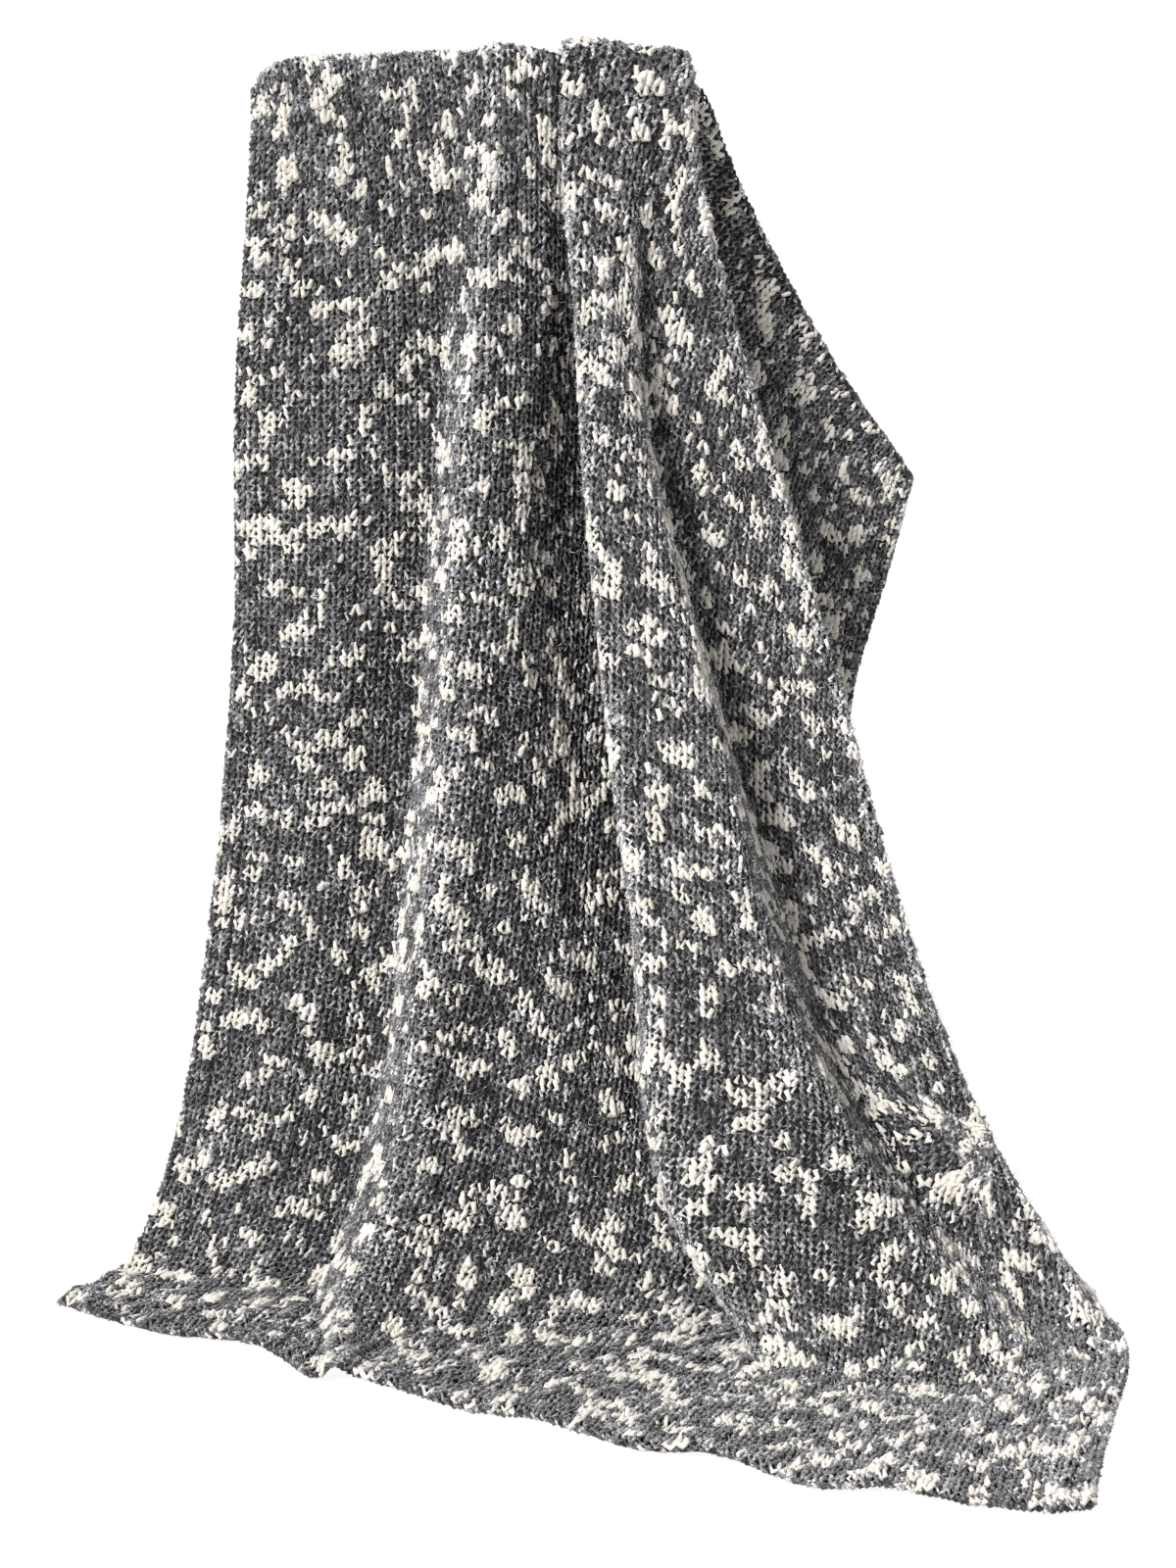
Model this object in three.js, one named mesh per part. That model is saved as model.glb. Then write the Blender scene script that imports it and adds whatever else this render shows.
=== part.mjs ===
// A boucle throw, knitted in one piece. Its upper end is turned over a rail, its front hangs in
// slanting folds, its lower end spreads on the floor, and one upper corner falls past the rail's
// right-hand end. The rail is not part of it.
//
// Millimetres, +Z up. The origin is on the line where the underside of the cloth lies on the top of
// the rail. The front faces -Y, and "left" and "right" are those of someone who looks along +Y.
//
// "Fold lines" run up the cloth from its lower end, "across" goes from the left edge to the right
// edge over all the fold lines in turn, and "along" is a place on a fold line. It is the distance
// from the lower end, stretched so that every line meets the rail at the same value.

import * as THREE from "three";

// ---------------------------------------------------------------- driving dimensions

const clothLength = 1524;
const thickness = 3;
const drop = 1269;
const railRadius = 12;
const railStart = 1400;
const railEnd = 1450;
const floorHeight = thickness / 2 - drop;

// ---------------------------------------------------------------- the folds

// Heights, below the top of the rail, at which the table gives the fold lines.
const heights = { chest: -311, waist: -631, thigh: -951, shin: -1171 };

// Each row is one fold line that hangs from the rail, in order from the left edge. Places are
// [x, y]. "raise" is how far the line lies outside the rail's own layer of cloth, "settle" how far
// it has slipped down at the rail's end, "flap" how far it hangs down behind the rail, "landing"
// the length of it that lies on the floor, "foot" where it leaves the floor, "hem" where the lower
// end lies, and "lift" its height above the floor there.
const folds = [
  { name: "left edge", rail: -237, raise: 0, settle: 38, flap: 60, chest: [-257, -34], waist: [-266, -92],
    thigh: [-297, -176], shin: [-342, -250], foot: [-398, -296], hem: [-446, -360], landing: 88, lift: 0 },
  { name: "left border", rail: -214, raise: 0, settle: 11, flap: 60, chest: [-232, -41], waist: [-246, -101],
    thigh: [-276, -184], shin: [-322, -258], foot: [-370, -306], hem: [-420, -379], landing: 87, lift: 0 },
  { name: "left panel", rail: -120, raise: 0, settle: 0, flap: 70, chest: [-140, -48], waist: [-166, -118],
    thigh: [-200, -202], shin: [-240, -280], foot: [-285, -340], hem: [-322, -433], landing: 85, lift: 0 },
  { name: "first hollow", rail: -15, raise: 0, settle: -3, flap: 90, chest: [-40, -22], waist: [-66, -88],
    thigh: [-98, -180], shin: [-136, -268], foot: [-184, -362], hem: [-230, -458], landing: 75, lift: 0 },
  { name: "ridge, left foot", rail: 0, raise: 4, settle: 0, flap: 100, chest: [-25, -44], waist: [-50, -122],
    thigh: [-80, -230], shin: [-121, -330], foot: [-168, -420], hem: [-162, -542], landing: 80, lift: 0 },
  { name: "first ridge", rail: 16, raise: 10, settle: 0, flap: 110, chest: [-6, -72], waist: [-26, -166],
    thigh: [-56, -288], shin: [-100, -398], foot: [-140, -470], hem: [-143, -546], landing: 80, lift: 20 },
  { name: "middle panel", rail: 48, raise: 4, settle: -3, flap: 105, chest: [42, -58], waist: [26, -142],
    thigh: [4, -262], shin: [-28, -380], foot: [-72, -470], hem: [-118, -540], landing: 80, lift: 0 },
  { name: "second hollow", rail: 96, raise: 0, settle: -2, flap: 95, chest: [106, 2], waist: [112, -68],
    thigh: [124, -196], shin: [140, -326], foot: [92, -448], hem: [0, -619], landing: 155, lift: 0 },
  { name: "pleat, under", rail: 144, raise: 0, settle: 0, flap: 60, chest: [154, 8], waist: [146, -52],
    thigh: [170, -168], shin: [205, -312], foot: [252, -430], hem: [62, -634], landing: 178, lift: 0 },
  { name: "pleat, turned back", rail: 144, raise: 7, settle: 0, flap: 60,
    chest: [152, -16], waist: [152, -88],
    thigh: [184, -212], shin: [232, -356], foot: [296, -470], hem: [115, -670], landing: 195, lift: 0 },
  { name: "pleat, inner edge", rail: 93, raise: 7, settle: 0, flap: 45,
    chest: [109, -78], waist: [135, -186],
    thigh: [173, -314], shin: [224, -452], foot: [290, -520], hem: [168, -703], landing: 190, lift: 0 },
  { name: "second ridge", rail: 93, raise: 14, settle: 0, flap: 45, chest: [108, -100], waist: [134, -214],
    thigh: [182, -344], shin: [240, -478], foot: [304, -544], hem: [237, -722], landing: 195, lift: 9 },
  { name: "narrow panel", rail: 128, raise: 14, settle: 0, flap: 35, chest: [138, -104], waist: [186, -222],
    thigh: [258, -346], shin: [346, -478], foot: [372, -560], hem: [330, -786], landing: 235, lift: 0 },
  { name: "third ridge", rail: 168, raise: 8, settle: 0, flap: 28, chest: [162, -88], waist: [235, -206],
    thigh: [328, -338], shin: [466, -456], foot: [555, -522], hem: [402, -790], landing: 310, lift: 8 },
  { name: "third hollow", rail: 188, raise: 5, settle: -2, flap: 22, chest: [176, -50], waist: [250, -122],
    thigh: [356, -236], shin: [492, -370], foot: [594, -468], hem: [475, -818], landing: 365, lift: 0 },
  { name: "right panel", rail: 205, raise: 4, settle: -2, flap: 18, chest: [236, -48], waist: [325, -140],
    thigh: [440, -262], shin: [568, -380], foot: [637, -454], hem: [525, -832], landing: 388, lift: 0 },
  { name: "right ridge", rail: 220, raise: 3, settle: 5, flap: 30, chest: [280, -76], waist: [376, -174],
    thigh: [476, -292], shin: [593, -390], foot: [651, -437], hem: [563, -834], landing: 398, lift: 0 },
];

// Behind the right ridge the cloth turns back to a hidden hollow, and then out again to the
// upper corner. Each row gives both lines at one place along, as [x, y, z].
const cornerRows = [
  { along: 0, hollow: [580, -831, floorHeight], edge: [596, -824, floorHeight] },
  { along: 200, hollow: [625, -630, floorHeight], edge: [638, -632, floorHeight] },
  { along: 396, hollow: [658, -436, floorHeight], edge: [668, -436, floorHeight] },
  { along: 475, hollow: [614, -366, -1218], edge: [641, -368, -1246] },
  { along: 556, hollow: [554, -310, -1156], edge: [596, -316, -1201] },
  { along: 698, hollow: [455, -228, -1011], edge: [520, -240, -1123] },
  { along: 834, hollow: [390, -170, -861], edge: [458, -186, -1021] },
  { along: 967, hollow: [335, -115, -691], edge: [412, -138, -929] },
  { along: 1100, hollow: [285, -64, -521], edge: [396, -90, -821] },
  { along: 1230, hollow: [244, -12, -351], edge: [402, -38, -699] },
  { along: 1400, hollow: [230, 8, -120], edge: [441, 26, -573] },
  { along: clothLength, hollow: [236, 26, -40], edge: [471, 50, -465] },
];

// A fold line lies straight on the floor for this share of its landing.
const floorShare = 0.6;

// Fold lines between the hidden hollow and the right edge, as shares of the way, and how far
// the cloth sags between the two, as a share of their distance.
const cornerShares = [0.15, 0.4, 0.7];
const cornerSag = 0.03;

// ---------------------------------------------------------------- smooth curves

// The natural cubic spline through points at rising knots, as a function of the knot value.
function spline(knots, points) {
  const last = knots.length - 1;
  const bend = points.map(() => new THREE.Vector3());
  const diagonal = new Array(last + 1).fill(1);
  for (let i = 1; i < last; i += 1) {
    const before = knots[i] - knots[i - 1];
    const after = knots[i + 1] - knots[i];
    const slopeBefore = points[i].clone().sub(points[i - 1]).divideScalar(before);
    const slopeAfter = points[i + 1].clone().sub(points[i]).divideScalar(after);
    bend[i].copy(slopeAfter).sub(slopeBefore).multiplyScalar(6);
    diagonal[i] = 2 * (before + after);
    if (i > 1) {
      const share = before / diagonal[i - 1];
      diagonal[i] -= share * before;
      bend[i].addScaledVector(bend[i - 1], -share);
    }
  }
  for (let i = last - 1; i > 0; i -= 1) {
    const after = knots[i + 1] - knots[i];
    bend[i].addScaledVector(bend[i + 1], -after).divideScalar(diagonal[i]);
  }
  return (knot) => {
    let i = 0;
    while (i < last - 1 && knot > knots[i + 1]) {
      i += 1;
    }
    const span = knots[i + 1] - knots[i];
    const high = (knot - knots[i]) / span;
    const low = 1 - high;
    return new THREE.Vector3()
      .addScaledVector(points[i], low)
      .addScaledVector(points[i + 1], high)
      .addScaledVector(bend[i], ((low ** 3 - low) * span * span) / 6)
      .addScaledVector(bend[i + 1], ((high ** 3 - high) * span * span) / 6);
  };
}

// The running distance along a chain of points.
function runningLength(points) {
  const lengths = [0];
  for (let i = 1; i < points.length; i += 1) {
    lengths.push(lengths[i - 1] + points[i].distanceTo(points[i - 1]));
  }
  return lengths;
}

// ---------------------------------------------------------------- fold lines

// The fold line of one table row, from its hem over the rail to the end of its flap, as a
// function of the place along. Every line meets the rail at railStart and leaves it at railEnd.
function hangingLine(fold) {
  const reach = railRadius + thickness / 2 + fold.raise;
  const railAxis = -railRadius - fold.settle;
  const at = ([x, y], z) => new THREE.Vector3(x, y, z);
  const hem = at(fold.hem, floorHeight + fold.lift);
  const foot = at(fold.foot, floorHeight + fold.lift);
  const landed = [hem, hem.clone().lerp(foot, floorShare), foot];
  const hanging = [
    at(fold.shin, heights.shin),
    at(fold.thigh, heights.thigh),
    at(fold.waist, heights.waist),
    at(fold.chest, heights.chest),
  ];
  const turns = [0, 0.25, 0.5, 0.75, 1];
  const overRail = turns.map((turn) => at(
    [fold.rail, -reach * Math.cos(Math.PI * turn)],
    railAxis + reach * Math.sin(Math.PI * turn),
  ));
  const flapEnd = at([fold.rail, reach + 2], Math.min(-fold.flap, railAxis - 2));
  const lengths = runningLength([foot, ...hanging, overRail[0]]);
  const stretch = (railStart - fold.landing) / lengths.at(-1);
  const knots = [
    0,
    fold.landing * floorShare,
    ...lengths.slice(0, -1).map((length) => fold.landing + length * stretch),
    ...turns.map((turn) => railStart + (railEnd - railStart) * turn),
  ];
  const curve = spline(knots, [...landed, ...hanging, ...overRail]);
  return (along) => {
    const flapShare = (along - railEnd) / (clothLength - railEnd);
    return flapShare > 0 ? overRail.at(-1).clone().lerp(flapEnd, flapShare) : curve(along);
  };
}

// The fold lines of the fallen corner: the hidden hollow, the lines across the corner and the
// right edge, each as a function of the place along.
function cornerLines() {
  const knots = cornerRows.map((row) => row.along);
  const hollow = spline(knots, cornerRows.map((row) => new THREE.Vector3(...row.hollow)));
  const edge = spline(knots, cornerRows.map((row) => new THREE.Vector3(...row.edge)));
  const between = cornerShares.map((share) => (along) => {
    const start = hollow(along);
    const end = edge(along);
    const sag = cornerSag * start.distanceTo(end) * 4 * share * (1 - share);
    return start.lerp(end, share).add(new THREE.Vector3(-sag, 0, -sag / 2));
  });
  return [hollow, ...between, edge];
}

// ---------------------------------------------------------------- the cloth's middle surface

const stepsPerFold = 3;
const foldLines = [...folds.map(hangingLine), ...cornerLines()];

// One row across the cloth: a smooth curve through all the fold lines at one place along,
// with an even number of steps between neighbouring lines. Nothing sinks below the floor.
function clothRow(along) {
  const points = foldLines.map((line) => line(along));
  const curve = new THREE.CatmullRomCurve3(points, false, "centripetal");
  const row = curve.getPoints(stepsPerFold * (points.length - 1));
  row.forEach((point) => point.setZ(Math.max(point.z, floorHeight)));
  return row;
}

// The places along of the cloth's rows: wide steps below, close steps over the rail.
function rowPlaces() {
  const railZone = 150;
  const places = [];
  const wideSteps = 25;
  const closeSteps = 13;
  for (let i = 0; i < wideSteps; i += 1) {
    places.push(((clothLength - railZone) * i) / wideSteps);
  }
  for (let i = 0; i <= closeSteps; i += 1) {
    places.push(clothLength - railZone + (railZone * i) / closeSteps);
  }
  return places;
}

// ---------------------------------------------------------------- the solid

// The unit normal of a grid of points at one of them: the mean of the normals of the cells that
// meet there. It faces the front.
function gridNormal(grid, j, i) {
  const here = grid[j][i];
  const total = new THREE.Vector3();
  for (const [across, up] of [[1, 1], [-1, 1], [1, -1], [-1, -1]]) {
    const beside = grid[j][i + across];
    const above = grid[j + up]?.[i];
    if (beside && above) {
      const acrossStep = beside.clone().sub(here).multiplyScalar(across);
      const upStep = above.clone().sub(here).multiplyScalar(up);
      total.add(acrossStep.cross(upStep).normalize());
    }
  }
  return total.normalize();
}

// A closed sheet of even thickness about a grid of points.
function sheetGeometry(grid) {
  const rows = grid.length;
  const columns = grid[0].length;
  const normals = grid.map((row, j) => row.map((_, i) => gridNormal(grid, j, i)));
  const positions = [];
  for (const side of [thickness / 2, -thickness / 2]) {
    grid.forEach((row, j) => row.forEach((point, i) => {
      positions.push(...point.clone().addScaledVector(normals[j][i], side).toArray());
    }));
  }
  const front = (j, i) => j * columns + i;
  const back = (j, i) => rows * columns + front(j, i);
  const triangles = [];
  const quad = (a, b, c, d) => triangles.push(a, b, c, a, c, d);
  for (let j = 0; j < rows - 1; j += 1) {
    for (let i = 0; i < columns - 1; i += 1) {
      quad(front(j, i), front(j, i + 1), front(j + 1, i + 1), front(j + 1, i));
      quad(back(j, i), back(j + 1, i), back(j + 1, i + 1), back(j, i + 1));
    }
    quad(back(j, 0), front(j, 0), front(j + 1, 0), back(j + 1, 0));
    quad(front(j, columns - 1), back(j, columns - 1), back(j + 1, columns - 1), front(j + 1, columns - 1));
  }
  for (let i = 0; i < columns - 1; i += 1) {
    quad(back(0, i), back(0, i + 1), front(0, i + 1), front(0, i));
    quad(front(rows - 1, i), front(rows - 1, i + 1), back(rows - 1, i + 1), back(rows - 1, i));
  }
  const geometry = new THREE.BufferGeometry();
  geometry.setAttribute("position", new THREE.Float32BufferAttribute(positions, 3));
  geometry.setIndex(triangles);
  geometry.computeVertexNormals();
  return geometry;
}

const clothGrid = rowPlaces().map(clothRow);

const boucleKnit = new THREE.MeshStandardMaterial({ color: 0x77767a, roughness: 0.95, metalness: 0 });
const throwMesh = new THREE.Mesh(sheetGeometry(clothGrid), boucleKnit);
throwMesh.name = "throw";

const object = new THREE.Group();
object.add(throwMesh);

export default object;
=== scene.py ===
# %% [markdown]
# # A boucle throw over a rail
# The real thing is a chunky throw, hand-knitted in plain stocking stitch from a soft thick-and-thin
# yarn that was dyed in short lengths: mostly greys, with stretches of cream. It hangs over a rail in
# slanting folds and its lower end spreads on the floor. Everything here is in metres, in the frame
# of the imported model: up is +Z, the front faces -Y and the rail's top is at the origin.

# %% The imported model
import math
import bpy
import numpy as np
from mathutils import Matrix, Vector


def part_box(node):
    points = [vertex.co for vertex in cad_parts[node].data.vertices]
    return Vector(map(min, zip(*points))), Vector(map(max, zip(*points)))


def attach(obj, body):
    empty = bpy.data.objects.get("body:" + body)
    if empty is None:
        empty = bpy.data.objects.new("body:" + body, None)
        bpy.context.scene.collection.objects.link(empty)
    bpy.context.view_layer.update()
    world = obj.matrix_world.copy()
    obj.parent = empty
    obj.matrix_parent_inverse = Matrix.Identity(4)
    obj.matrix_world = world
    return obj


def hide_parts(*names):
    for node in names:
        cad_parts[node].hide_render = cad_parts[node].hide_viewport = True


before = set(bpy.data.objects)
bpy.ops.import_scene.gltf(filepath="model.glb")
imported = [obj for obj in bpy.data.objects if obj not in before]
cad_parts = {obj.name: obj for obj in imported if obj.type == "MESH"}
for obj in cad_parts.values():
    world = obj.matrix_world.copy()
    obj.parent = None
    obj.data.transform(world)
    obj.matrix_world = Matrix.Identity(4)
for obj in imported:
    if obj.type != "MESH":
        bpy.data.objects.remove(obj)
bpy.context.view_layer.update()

throw_low, throw_high = (np.array(corner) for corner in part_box("throw"))
print("throw from", throw_low.round(3), "to", throw_high.round(3))

# %% [markdown]
# ## The camera
# The throw is seen from straight ahead and a little above, with a long lens, so that its upright
# folds stay nearly parallel.

# %% The camera
VIEW_RISE = math.radians(17)
VIEW_DISTANCE = 4.56
VIEW_AIM = np.array([0.116, 0, -0.799])
LENS = 94.5
LENS_FILM = 36.0

camera_data = bpy.data.cameras.new("camera")
camera_data.lens = LENS
camera_data.sensor_fit = "VERTICAL"
camera_data.sensor_height = LENS_FILM
camera = bpy.data.objects.new("camera", camera_data)
bpy.context.scene.collection.objects.link(camera)
camera.location = VIEW_AIM + VIEW_DISTANCE * np.array([0, -math.cos(VIEW_RISE), math.sin(VIEW_RISE)])
camera.rotation_euler = (math.pi / 2 - VIEW_RISE, 0, 0)
bpy.context.scene.camera = camera
print("camera at", [round(value, 3) for value in camera.location])

# %% [markdown]
# ## The folds
# A hanging cloth is ruled by its folds. Each fold line starts at the hem on the floor, rises to the
# rail, goes over it and ends in the flap behind. A table gives every line a few places, a natural
# spline runs through them, and a second smooth curve joins the lines across the cloth. This keeps
# the big folds where the solid has them, which a cloth simulation would not. Distances along the
# cloth start at the hem, and it lies on the rail from RAIL_START to RAIL_END.

# %% Sizes and fold table
CLOTH_WIDTH = 1.27
CLOTH_LENGTH = 1.524
SHEET_THICKNESS = 0.003
RAIL_RADIUS = 0.012
RAIL_START = 1.400
RAIL_END = 1.450
FLOOR = throw_low[2]
YARN_CLEARANCE = 0.0055
LYING_HEIGHT = FLOOR + SHEET_THICKNESS / 2
HEIGHTS = {"chest": -0.311, "waist": -0.631, "thigh": -0.951, "shin": -1.171}
RAIL_PLACES = 5
FLOOR_SHARE = 0.6
FLAP_EASE = 0.002

FOLD_COLUMNS = "rail raise settle flap chest_x chest_y waist_x waist_y thigh_x thigh_y shin_x shin_y".split()
FOLD_COLUMNS += "foot_x foot_y hem_x hem_y landing lift".split()
FOLDS_MM = {
    "left edge": (-237, 0, 38, 60,
        -257, -34, -266, -92, -297, -176, -342, -250,
        -398, -296, -446, -360, 88, 0),
    "left border": (-214, 0, 11, 60,
        -232, -41, -246, -101, -276, -184, -322, -258,
        -370, -306, -420, -379, 87, 0),
    "left panel": (-120, 0, 0, 70,
        -140, -48, -166, -118, -200, -202, -240, -280,
        -285, -340, -322, -433, 85, 0),
    "first hollow": (-15, 0, -3, 90,
        -40, -22, -66, -88, -98, -180, -136, -268,
        -184, -362, -230, -458, 75, 0),
    "ridge, left foot": (0, 4, 0, 100,
        -25, -44, -50, -122, -80, -230, -121, -330,
        -168, -420, -162, -542, 80, 0),
    "first ridge": (16, 10, 0, 110,
        -6, -72, -26, -166, -56, -288, -100, -398,
        -140, -470, -143, -546, 80, 20),
    "middle panel": (48, 4, -3, 105,
        42, -58, 26, -142, 4, -262, -28, -380,
        -72, -470, -118, -540, 80, 0),
    "second hollow": (96, 0, -2, 95,
        106, 2, 112, -68, 124, -196, 140, -326,
        92, -448, 0, -619, 155, 0),
    "pleat, under": (144, 0, 0, 60,
        154, 8, 146, -52, 170, -168, 205, -312,
        252, -430, 62, -634, 178, 0),
    "pleat, turned back": (144, 7, 0, 60,
        152, -16, 152, -88, 184, -212, 232, -356,
        296, -470, 115, -670, 195, 0),
    "pleat, inner edge": (93, 7, 0, 45,
        109, -78, 135, -186, 173, -314, 224, -452,
        290, -520, 168, -703, 190, 0),
    "second ridge": (93, 14, 0, 45,
        108, -100, 134, -214, 182, -344, 240, -478,
        304, -544, 237, -722, 195, 9),
    "narrow panel": (128, 14, 0, 35,
        138, -104, 186, -222, 258, -346, 346, -478,
        372, -560, 330, -786, 235, 0),
    "third ridge": (168, 8, 0, 28,
        162, -88, 235, -206, 328, -338, 466, -456,
        555, -522, 402, -790, 310, 8),
    "third hollow": (188, 5, -2, 22,
        176, -50, 250, -122, 356, -236, 492, -370,
        594, -468, 475, -818, 365, 0),
    "right panel": (205, 4, -2, 18,
        236, -48, 325, -140, 440, -262, 568, -380,
        637, -454, 525, -832, 388, 0),
    "right ridge": (220, 3, 5, 30,
        280, -76, 376, -174, 476, -292, 593, -390,
        651, -437, 563, -834, 398, 0),
}
MM = 0.001
folds = [dict(zip(FOLD_COLUMNS, np.array(row) * MM)) for row in FOLDS_MM.values()]
print(len(folds), "hanging fold lines")

# %% Corner table
# Each row holds a distance along the cloth, then x, y and z of the hollow and of the outer edge.
ON_FLOOR = LYING_HEIGHT / MM
corner_table = MM * np.array([
    (0, 580, -831, ON_FLOOR, 596, -824, ON_FLOOR),
    (200, 625, -630, ON_FLOOR, 638, -632, ON_FLOOR),
    (396, 658, -436, ON_FLOOR, 668, -436, ON_FLOOR),
    (475, 614, -366, -1218, 641, -368, -1246),
    (556, 554, -310, -1156, 596, -316, -1201),
    (698, 455, -228, -1011, 520, -240, -1123),
    (834, 390, -170, -861, 458, -186, -1021),
    (967, 335, -115, -691, 412, -138, -929),
    (1100, 285, -64, -521, 396, -90, -821),
    (1230, 244, -12, -351, 402, -38, -699),
    (1400, 230, 8, -120, 441, 26, -573),
    (1524, 236, 26, -40, 471, 50, -465),
])
CORNER_SHARES = (0.15, 0.4, 0.7)
CORNER_SAG = 0.03 * np.array([1, 0, 0.5])
print(len(corner_table), "places along the fallen corner")


# %% Natural spline
def natural_spline(knots, points, at):
    """The smooth curve through points at rising knots whose ends don't bend: a cubic on each span,
    with the bending at the knots found from one set of linear equations."""
    knots, points, at = np.asarray(knots), np.asarray(points), np.asarray(at)
    gaps = np.diff(knots)
    slopes = np.diff(points, axis=0) / gaps[:, None]
    inner = np.arange(1, len(knots) - 1)
    system = np.eye(len(knots))
    system[inner, inner] = 2 * (gaps[:-1] + gaps[1:])
    system[inner, inner - 1] = gaps[:-1]
    system[inner, inner + 1] = gaps[1:]
    right = np.zeros_like(points)
    right[1:-1] = 6 * np.diff(slopes, axis=0)
    bend = np.linalg.solve(system, right)
    span = np.clip(np.searchsorted(knots, at, side="right") - 1, 0, len(gaps) - 1)
    gap = gaps[span][:, None]
    high = (at - knots[span])[:, None] / gap
    low = 1 - high
    return (low * points[span] + high * points[span + 1]
            + ((low**3 - low) * bend[span] + (high**3 - high) * bend[span + 1]) * gap**2 / 6)


# %% One hanging line
def hanging_line(fold, along):
    """The line of one fold at each distance along: hem, floor, four heights, five places round the
    rail on a half circle, then a straight flap."""
    reach = RAIL_RADIUS + SHEET_THICKNESS / 2 + fold["raise"]
    axis = -RAIL_RADIUS - fold["settle"]
    height = LYING_HEIGHT + fold["lift"]
    hem = np.array([fold["hem_x"], fold["hem_y"], height])
    foot = np.array([fold["foot_x"], fold["foot_y"], height])
    hanging = [np.array([fold[name + "_x"], fold[name + "_y"], HEIGHTS[name]])
               for name in ("shin", "thigh", "waist", "chest")]
    turns = np.linspace(0, 1, RAIL_PLACES)
    over = np.stack([np.full_like(turns, fold["rail"]), -reach * np.cos(np.pi * turns),
                     axis + reach * np.sin(np.pi * turns)], axis=1)
    chain = np.array([foot, *hanging, over[0]])
    lengths = np.concatenate([[0], np.cumsum(np.linalg.norm(np.diff(chain, axis=0), axis=1))])
    stretch = (RAIL_START - fold["landing"]) / lengths[-1]
    knots = np.concatenate([[0, fold["landing"] * FLOOR_SHARE], fold["landing"] + lengths[:-1] * stretch,
                            RAIL_START + (RAIL_END - RAIL_START) * turns])
    between = hem + (foot - hem) * FLOOR_SHARE
    curve = natural_spline(knots, np.array([hem, between, *chain[:-1], *over]), along)
    flap_end = np.array([fold["rail"], reach + FLAP_EASE, min(-fold["flap"], axis - FLAP_EASE)])
    share = np.clip((along - RAIL_END) / (CLOTH_LENGTH - RAIL_END), 0, 1)[:, None]
    return np.where(share > 0, over[-1] + (flap_end - over[-1]) * share, curve)


# %% The lines of the fallen corner
def corner_lines(along):
    """The hidden hollow, three lines that sag a little towards the floor, and the right edge."""
    hollow = natural_spline(corner_table[:, 0], corner_table[:, 1:4], along)
    edge = natural_spline(corner_table[:, 0], corner_table[:, 4:7], along)
    reach = np.linalg.norm(edge - hollow, axis=1)[:, None]
    sag = CORNER_SAG * reach
    sagging = [hollow + (edge - hollow) * share - sag * 4 * share * (1 - share) for share in CORNER_SHARES]
    return [hollow, *sagging, edge]


# %% Across the folds
def across_lines(lines, steps):
    """A centripetal Catmull-Rom curve through all the lines at each distance along: on each span a
    cubic whose end slopes come from the neighbouring points, weighted by the root of their distance."""
    padded = np.concatenate([[2 * lines[0] - lines[1]], lines, [2 * lines[-1] - lines[-2]]])
    root = np.sqrt(np.linalg.norm(np.diff(padded, axis=0), axis=2))[..., None]
    root = np.maximum(root, 1e-3)
    slope = np.diff(padded, axis=0) / root
    joined = (padded[2:] - padded[:-2]) / (root[:-1] + root[1:])
    tangent = slope[:-1] - joined + slope[1:]
    share = np.linspace(0, 1, steps, endpoint=False)[:, None, None, None]
    first, last = lines[:-1], lines[1:]
    leave, arrive = tangent[:-1] * root[1:-1], tangent[1:] * root[1:-1]
    curve = (first + leave * share + (3 * (last - first) - 2 * leave - arrive) * share**2
             + (2 * (first - last) + leave + arrive) * share**3)
    spans = curve.transpose(1, 0, 2, 3).reshape(-1, *lines.shape[1:])
    return np.concatenate([spans, lines[-1:]])


# %% The middle surface
SURFACE_ROWS = 601
STEPS_PER_FOLD = 16
LANDING_BLEND = 0.004
along = np.linspace(0, CLOTH_LENGTH, SURFACE_ROWS)
fold_lines = np.array([hanging_line(fold, along) for fold in folds] + corner_lines(along))
surface = across_lines(fold_lines, STEPS_PER_FOLD).transpose(1, 0, 2)
rest_height = FLOOR + YARN_CLEARANCE
above = (surface[..., 2] - rest_height) / LANDING_BLEND
surface[..., 2] = rest_height + LANDING_BLEND * np.logaddexp(0, above)
print("middle surface", surface.shape, "lowest", surface[..., 2].min().round(4))


# %% Directions on the surface
def slopes_of(grid):
    """The change of a grid of places per row and per column."""
    return np.gradient(grid, axis=0), np.gradient(grid, axis=1)


def unit(vectors):
    """Each vector divided by its length."""
    return vectors / np.maximum(np.linalg.norm(vectors, axis=-1, keepdims=True), 1e-12)


def normals_of(grid):
    """The outward normal at each place: the slope across crossed with the slope along."""
    slope_along, slope_across = slopes_of(grid)
    return unit(np.cross(unit(slope_across), unit(slope_along)))


def look_up(grid, row, column):
    """The grid's value at broken rows and columns, from the four entries around each."""
    row = np.clip(row, 0, grid.shape[0] - 1.001)
    column = np.clip(column, 0, grid.shape[1] - 1.001)
    j, i = row.astype(int), column.astype(int)
    up, over = (row - j)[..., None], (column - i)[..., None]
    lower = grid[j, i] * (1 - over) + grid[j, i + 1] * over
    upper = grid[j + 1, i] * (1 - over) + grid[j + 1, i + 1] * over
    return lower * (1 - up) + upper * up


# %% [markdown]
# ## Unevenness
# No real cloth hangs as smooth as its fold lines. Small dents come from where hands held it, and
# a knitted hem wavers. Both change at random but not abruptly, as soft noise does: seeded random
# values at the corners of wide cells, and a smooth step from one corner to the next.

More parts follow.
